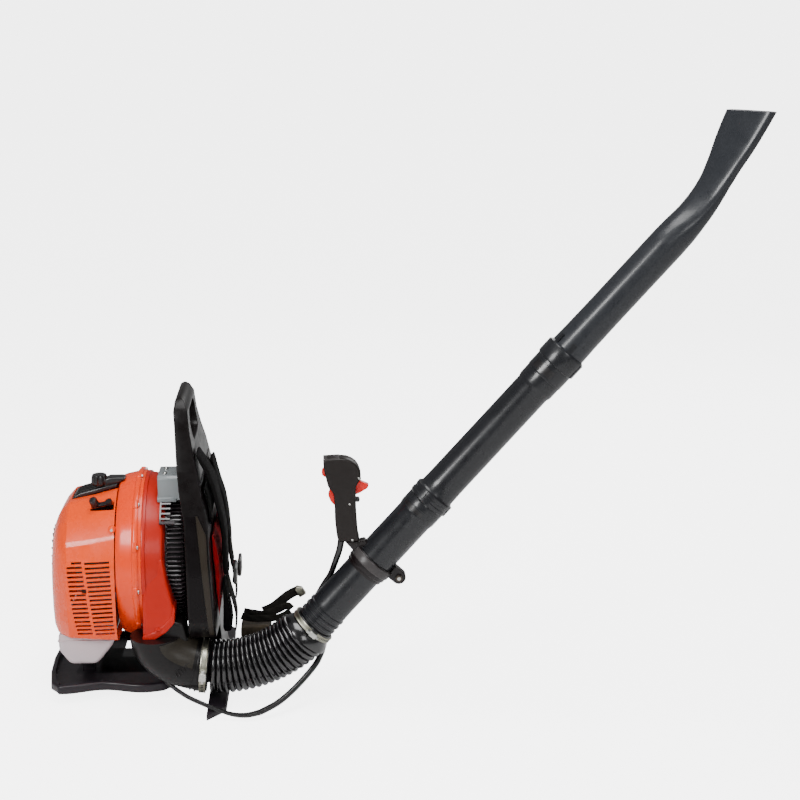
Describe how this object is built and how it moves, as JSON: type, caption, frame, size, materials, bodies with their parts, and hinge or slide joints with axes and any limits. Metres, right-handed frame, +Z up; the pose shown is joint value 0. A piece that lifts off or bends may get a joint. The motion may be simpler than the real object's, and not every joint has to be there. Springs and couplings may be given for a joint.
{
  "type": "backpack leaf blower",
  "caption": "Backpack leaf blower: engine and fan unit with a carrying frame, padded harness, flexible hose, jointed blower tube, flat nozzle and pistol control grip.",
  "frame": {"origin": "on the floor under the base, on the plane through the fan shaft", "axes": "+X the way the operator faces, -Y the operator's right where the tube is, +Z up"},
  "size_m": [1.2115, 0.428, 1.006],
  "materials": {
    "orange_plastic": "glossy orange moulding",
    "dark_orange_plastic": "satin dark orange moulding",
    "black_plastic": "satin black moulding",
    "tray_plastic": "matte dark grey moulding",
    "frame_plastic": "satin brown-black moulding",
    "pipe_plastic": "satin slate grey moulding",
    "red_plastic": "glossy red moulding",
    "tank_plastic": "translucent white moulding",
    "bracket_metal": "light grey painted bracket",
    "mount_rubber": "black rubber",
    "hose_rubber": "black rubber",
    "cast_aluminium": "cast aluminium",
    "steel": "bright steel",
    "filter_foam": "grey filter foam",
    "black_fabric": "black woven fabric and padding",
    "red_fabric": "red fabric over padding",
    "hip_fabric": "brownish fabric over padding"
  },
  "bodies": {
    "machine": {"base_tray": "tray_plastic", "front_foot_bar": "tray_plastic", "back_frame": "frame_plastic", "top_bracket": "bracket_metal", "right_rubber_mount": "mount_rubber", "left_rubber_mount": "mount_rubber", "fan_case_rear": "orange_plastic", "fan_case_front": "dark_orange_plastic", "intake_guard": "black_plastic", "engine_cover": "orange_plastic", "air_cleaner_cover": "black_plastic", "air_filter": "filter_foam", "crankcase": "cast_aluminium", "cylinder": "cast_aluminium", "spark_plug_boot": "mount_rubber", "muffler": "steel", "carburettor": "cast_aluminium", "starter_housing": "black_plastic", "fuel_tank": "tank_plastic", "elbow": "black_plastic", "lower_hose_clamp": "steel", "lower_clamp_screw": "steel", "cable_gland": "black_plastic", "throttle_cable_lower": "hose_rubber", "back_pad": "black_fabric", "lumbar_pad": "red_fabric", "right_shoulder_strap": "black_fabric", "left_shoulder_strap": "black_fabric", "right_strap_buckle": "black_plastic", "left_strap_buckle": "black_plastic", "waist_belt_fold": "black_fabric", "spine_pad": "black_fabric", "waist_strap": "black_fabric", "hip_pad": "hip_fabric"},
    "rotor": {"crankshaft": "steel", "flywheel": "cast_aluminium", "fan_impeller": "black_plastic"},
    "starter_pulley": {"starter_pulley": "black_plastic"},
    "starter_grip": {"starter_grip": "black_plastic", "starter_rope": "black_fabric"},
    "choke_lever": {"choke_lever": "black_plastic"},
    "air_cleaner_knob": {"air_cleaner_knob": "black_plastic"},
    "fuel_cap": {"fuel_cap": "black_plastic"},
    "throttle_lever": {"throttle_lever": "steel"},
    "hose": {"hose_bellows": "hose_rubber", "throttle_cable_middle": "hose_rubber"},
    "hose_cuff": {"upper_hose_clamp": "steel", "upper_clamp_screw": "steel", "throttle_cable_upper": "hose_rubber"},
    "pipe": {"swivel_pipe": "pipe_plastic", "handle_clamp": "black_plastic", "handle_clamp_screw": "steel", "grip_right": "black_plastic", "grip_left": "black_plastic", "cable_conduit": "black_plastic"},
    "trigger": {"trigger": "red_plastic"},
    "trigger_lock": {"trigger_lock": "red_plastic"},
    "stop_switch": {"stop_switch": "red_plastic"},
    "middle_pipe": {"middle_pipe": "pipe_plastic"},
    "nozzle": {"nozzle": "pipe_plastic"}
  },
  "joints": [
    {"name": "crank_turn", "type": "hinge", "parent": "machine", "child": "rotor", "pos_m": [0, 0, 0.229], "axis": [1, 0, 0], "continuous": true},
    {"name": "starter_pull", "type": "slide", "parent": "machine", "child": "starter_grip", "axis": [0, 1, 0], "range_m": [0, 0.65], "stiffness_N_per_m": 6, "springref_m": -0.25, "deforming": ["starter_rope"]},
    {"name": "starter_pulley_turn", "type": "hinge", "parent": "machine", "child": "starter_pulley", "pos_m": [-0.137, 0, 0.229], "axis": [1, 0, 0], "range_deg": [0, 940]},
    {"name": "choke_lever_turn", "type": "hinge", "parent": "machine", "child": "choke_lever", "pos_m": [-0.043, -0.076, 0.3453], "axis": [-0.2924, -0.4782, 0.8282], "range_deg": [0, 30]},
    {"name": "air_cleaner_knob_turn", "type": "hinge", "parent": "machine", "child": "air_cleaner_knob", "pos_m": [-0.066, -0.018, 0.37], "axis": [0, 0, 1], "range_deg": [0, 90]},
    {"name": "fuel_cap_turn", "type": "hinge", "parent": "machine", "child": "fuel_cap", "pos_m": [-0.087, 0.112, 0.08], "axis": [0, 1, 0], "range_deg": [0, 120]},
    {"name": "throttle_lever_turn", "type": "hinge", "parent": "machine", "child": "throttle_lever", "pos_m": [-0.07, 0.06, 0.25], "axis": [0, 0, -1], "range_deg": [0, 46]},
    {"name": "hose_swing", "type": "hinge", "parent": "machine", "child": "hose", "pos_m": [0.165, -0.135, 0.07], "axis": [0, 0, 1], "range_deg": [-30, 8], "deforming": ["hose_bellows", "throttle_cable_lower", "throttle_cable_middle"]},
    {"name": "hose_lift", "type": "hinge", "parent": "hose", "child": "hose_cuff", "pos_m": [0.235, -0.135, 0.08], "axis": [0, -1, 0], "range_deg": [-45, 10], "deforming": ["hose_bellows", "throttle_cable_middle"]},
    {"name": "pipe_turn", "type": "hinge", "parent": "hose_cuff", "child": "pipe", "pos_m": [0.308, -0.135, 0.146], "axis": [0.6682, 0, 0.744], "range_deg": [-40, 40], "deforming": ["throttle_cable_upper"]},
    {"name": "middle_pipe_twist", "type": "hinge", "parent": "pipe", "child": "middle_pipe", "pos_m": [0.308, -0.135, 0.146], "axis": [0.6682, 0, 0.744], "range_deg": [-20, 0]},
    {"name": "nozzle_twist", "type": "hinge", "parent": "middle_pipe", "child": "nozzle", "pos_m": [0.308, -0.135, 0.146], "axis": [0.6682, 0, 0.744], "range_deg": [-20, 0]},
    {"name": "trigger_pull", "type": "hinge", "parent": "pipe", "child": "trigger", "pos_m": [0.364, -0.135, 0.402], "axis": [0, 1, 0], "range_deg": [0, 18], "stiffness_Nm_per_rad": 0.4, "springref_deg": -17.19},
    {"name": "trigger_lock_press", "type": "hinge", "parent": "pipe", "child": "trigger_lock", "pos_m": [0.343, -0.135, 0.356], "axis": [0, 1, 0], "range_deg": [0, 8], "stiffness_Nm_per_rad": 0.3, "springref_deg": -11.46},
    {"name": "stop_switch_rock", "type": "hinge", "parent": "pipe", "child": "stop_switch", "pos_m": [0.33, -0.135, 0.4125], "axis": [0, 1, 0], "range_deg": [0, 12]}
  ],
  "couplings": [
    {"joint": "starter_pulley_turn", "follows": "starter_pull", "rad_per_m": 25},
    {"joint": "throttle_lever_turn", "follows": "trigger_pull", "ratio": 2.5}
  ]
}
